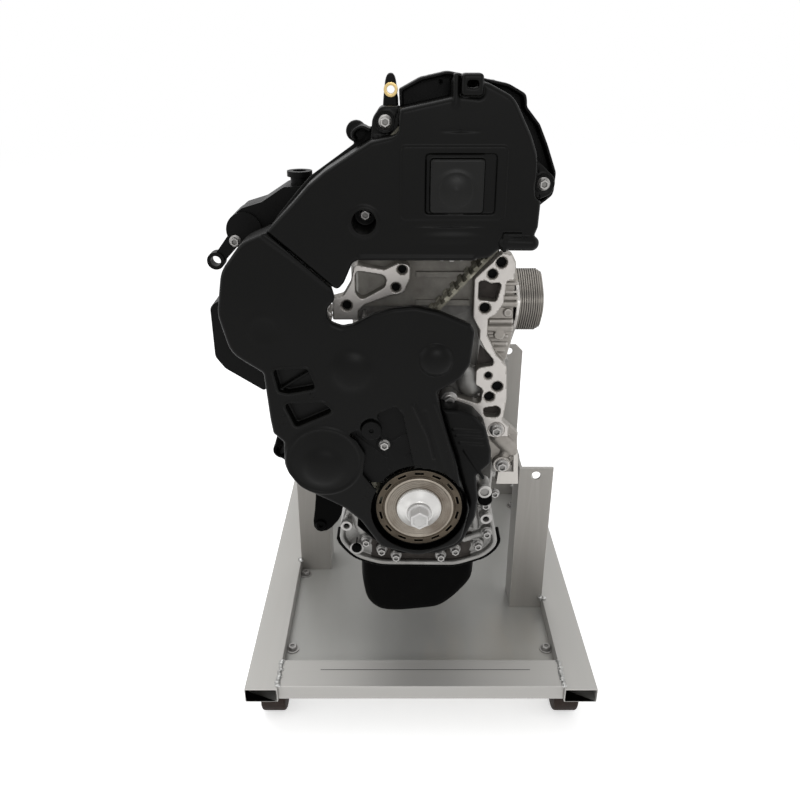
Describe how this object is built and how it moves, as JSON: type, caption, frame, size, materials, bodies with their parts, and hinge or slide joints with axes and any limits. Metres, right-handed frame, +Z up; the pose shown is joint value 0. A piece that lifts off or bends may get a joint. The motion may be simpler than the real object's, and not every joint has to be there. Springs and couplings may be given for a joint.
{
  "type": "turbo diesel engine",
  "caption": "Overhead-camshaft diesel engine, stripped of its ancillaries, with black timing covers, a slotted crank disc and an oil cooler, on a low wheeled aluminium stand.",
  "frame": {"origin": "on the floor, at the middle of the overall bounding box", "axes": "-Y is the timing-belt end of the engine, +Y its flywheel end, +X the side with the oil cooler, +Z is up"},
  "size_m": [0.43, 0.592, 0.7817],
  "materials": {
    "stand_aluminium": "drawn aluminium tube, lightly brushed and scuffed",
    "post_aluminium": "dull aluminium angle, satin",
    "stand_sheet": "smooth sheet, soft reflection",
    "zinc_steel": "zinc plated, satin",
    "caster_rubber": "matt brown-black rubber",
    "cast_iron": "cast, oiled",
    "cast_aluminium": "sand cast, matt",
    "machined_aluminium": "die cast with milled faces",
    "cooler_aluminium": "brazed plates, satin",
    "black_paint": "semi-gloss black",
    "cover_plastic": "fine-grained moulded black plastic",
    "inner_plastic": "moulded black plastic",
    "bright_steel": "bright zinc plated",
    "turned_steel": "machined steel",
    "disc_steel": "brown tarnished steel",
    "gasket_steel": "coated sheet",
    "piston_alloy": "machined",
    "belt_rubber": "matt, fabric faced",
    "brass": "turned"
  },
  "bodies": {
    "root": {"left_rail": "stand_aluminium", "right_rail": "stand_aluminium", "front_crossbar": "stand_aluminium", "rear_crossbar": "stand_aluminium", "left_side_post": "post_aluminium", "right_side_post": "post_aluminium", "left_rear_post": "post_aluminium", "right_rear_post": "post_aluminium", "base_sheet": "stand_sheet", "caster_plates": "zinc_steel", "drain_plug": "zinc_steel", "cylinder_block": "cast_iron", "bearing_ladder": "cast_aluminium", "front_housing": "cast_aluminium", "rear_plate": "cast_aluminium", "cylinder_head": "cast_aluminium", "cam_carrier": "cast_aluminium", "pump_bracket": "cast_aluminium", "fuel_pump": "cast_aluminium", "left_side_arm": "cast_aluminium", "right_side_arm": "cast_aluminium", "head_bracket": "machined_aluminium", "accessory_bracket": "machined_aluminium", "oil_cooler": "cooler_aluminium", "oil_sump": "black_paint", "upper_timing_cover": "cover_plastic", "lower_timing_cover": "cover_plastic", "inner_timing_cover": "inner_plastic", "lower_inner_cover": "inner_plastic", "cam_cover": "inner_plastic", "coolant_outlet": "inner_plastic", "side_housing": "inner_plastic", "fasteners": "bright_steel", "fuel_rail": "bright_steel", "head_gasket": "gasket_steel", "timing_belt": "belt_rubber", "brass_bush": "brass"},
    "crank": {"crankshaft": "turned_steel", "crank_sprocket": "turned_steel", "crank_disc": "disc_steel", "crank_washer": "bright_steel", "crank_bolt": "bright_steel"},
    "exhaust_cam": {"exhaust_camshaft": "turned_steel", "cam_sprocket": "turned_steel"},
    "intake_cam": {"intake_camshaft": "turned_steel"},
    "pump_drive": {"pump_sprocket": "turned_steel"},
    "water_pump": {"water_pump_pulley": "turned_steel"},
    "tensioner": {"tensioner_roller": "turned_steel"},
    "piston_1": {"piston_1": "piston_alloy"},
    "piston_2": {"piston_2": "piston_alloy"},
    "piston_3": {"piston_3": "piston_alloy"},
    "piston_4": {"piston_4": "piston_alloy"},
    "caster_1": {"caster_fork_1": "zinc_steel"},
    "wheel_1": {"caster_wheel_1": "caster_rubber"},
    "caster_2": {"caster_fork_2": "zinc_steel"},
    "wheel_2": {"caster_wheel_2": "caster_rubber"},
    "caster_3": {"caster_fork_3": "zinc_steel"},
    "wheel_3": {"caster_wheel_3": "caster_rubber"},
    "caster_4": {"caster_fork_4": "zinc_steel"},
    "wheel_4": {"caster_wheel_4": "caster_rubber"}
  },
  "joints": [
    {"name": "crank_spin", "type": "hinge", "parent": "root", "child": "crank", "pos_m": [-0.006, -0.271, 0.367], "axis": [0, 1, 0], "continuous": true},
    {"name": "exhaust_cam_spin", "type": "hinge", "parent": "root", "child": "exhaust_cam", "pos_m": [0.021, -0.271, 0.69], "axis": [0, 1, 0], "continuous": true},
    {"name": "intake_cam_spin", "type": "hinge", "parent": "root", "child": "intake_cam", "pos_m": [-0.028, -0.271, 0.69], "axis": [0, 1, 0], "continuous": true},
    {"name": "pump_spin", "type": "hinge", "parent": "root", "child": "pump_drive", "pos_m": [-0.131, -0.271, 0.574], "axis": [0, 1, 0], "continuous": true},
    {"name": "water_pump_spin", "type": "hinge", "parent": "root", "child": "water_pump", "pos_m": [-0.101, -0.271, 0.425], "axis": [0, 1, 0], "continuous": true},
    {"name": "tensioner_spin", "type": "hinge", "parent": "root", "child": "tensioner", "pos_m": [0.008, -0.271, 0.533], "axis": [0, 1, 0], "continuous": true},
    {"name": "piston_1_slide", "type": "slide", "parent": "root", "child": "piston_1", "axis": [0, 0, 1], "range_m": [-0.086, 0]},
    {"name": "piston_2_slide", "type": "slide", "parent": "root", "child": "piston_2", "axis": [0, 0, 1], "range_m": [0, 0.086]},
    {"name": "piston_3_slide", "type": "slide", "parent": "root", "child": "piston_3", "axis": [0, 0, 1], "range_m": [0, 0.086]},
    {"name": "piston_4_slide", "type": "slide", "parent": "root", "child": "piston_4", "axis": [0, 0, 1], "range_m": [-0.086, 0]},
    {"name": "caster_1_swivel", "type": "hinge", "parent": "root", "child": "caster_1", "pos_m": [-0.19, -0.194, 0], "axis": [0, 0, 1], "continuous": true},
    {"name": "wheel_1_roll", "type": "hinge", "parent": "caster_1", "child": "wheel_1", "pos_m": [-0.19, -0.18, 0.025], "axis": [1, 0, 0], "continuous": true},
    {"name": "caster_2_swivel", "type": "hinge", "parent": "root", "child": "caster_2", "pos_m": [0.19, -0.194, 0], "axis": [0, 0, 1], "continuous": true},
    {"name": "wheel_2_roll", "type": "hinge", "parent": "caster_2", "child": "wheel_2", "pos_m": [0.19, -0.18, 0.025], "axis": [1, 0, 0], "continuous": true},
    {"name": "caster_3_swivel", "type": "hinge", "parent": "root", "child": "caster_3", "pos_m": [-0.19, 0.246, 0], "axis": [0, 0, 1], "continuous": true},
    {"name": "wheel_3_roll", "type": "hinge", "parent": "caster_3", "child": "wheel_3", "pos_m": [-0.19, 0.26, 0.025], "axis": [1, 0, 0], "continuous": true},
    {"name": "caster_4_swivel", "type": "hinge", "parent": "root", "child": "caster_4", "pos_m": [0.19, 0.246, 0], "axis": [0, 0, 1], "continuous": true},
    {"name": "wheel_4_roll", "type": "hinge", "parent": "caster_4", "child": "wheel_4", "pos_m": [0.19, 0.26, 0.025], "axis": [1, 0, 0], "continuous": true}
  ],
  "couplings": [
    {"joint": "exhaust_cam_spin", "follows": "crank_spin", "ratio": 0.5},
    {"joint": "intake_cam_spin", "follows": "crank_spin", "ratio": 0.5},
    {"joint": "pump_spin", "follows": "crank_spin", "ratio": 0.78571},
    {"joint": "water_pump_spin", "follows": "crank_spin", "ratio": -1.039},
    {"joint": "tensioner_spin", "follows": "crank_spin", "ratio": -1.108}
  ]
}
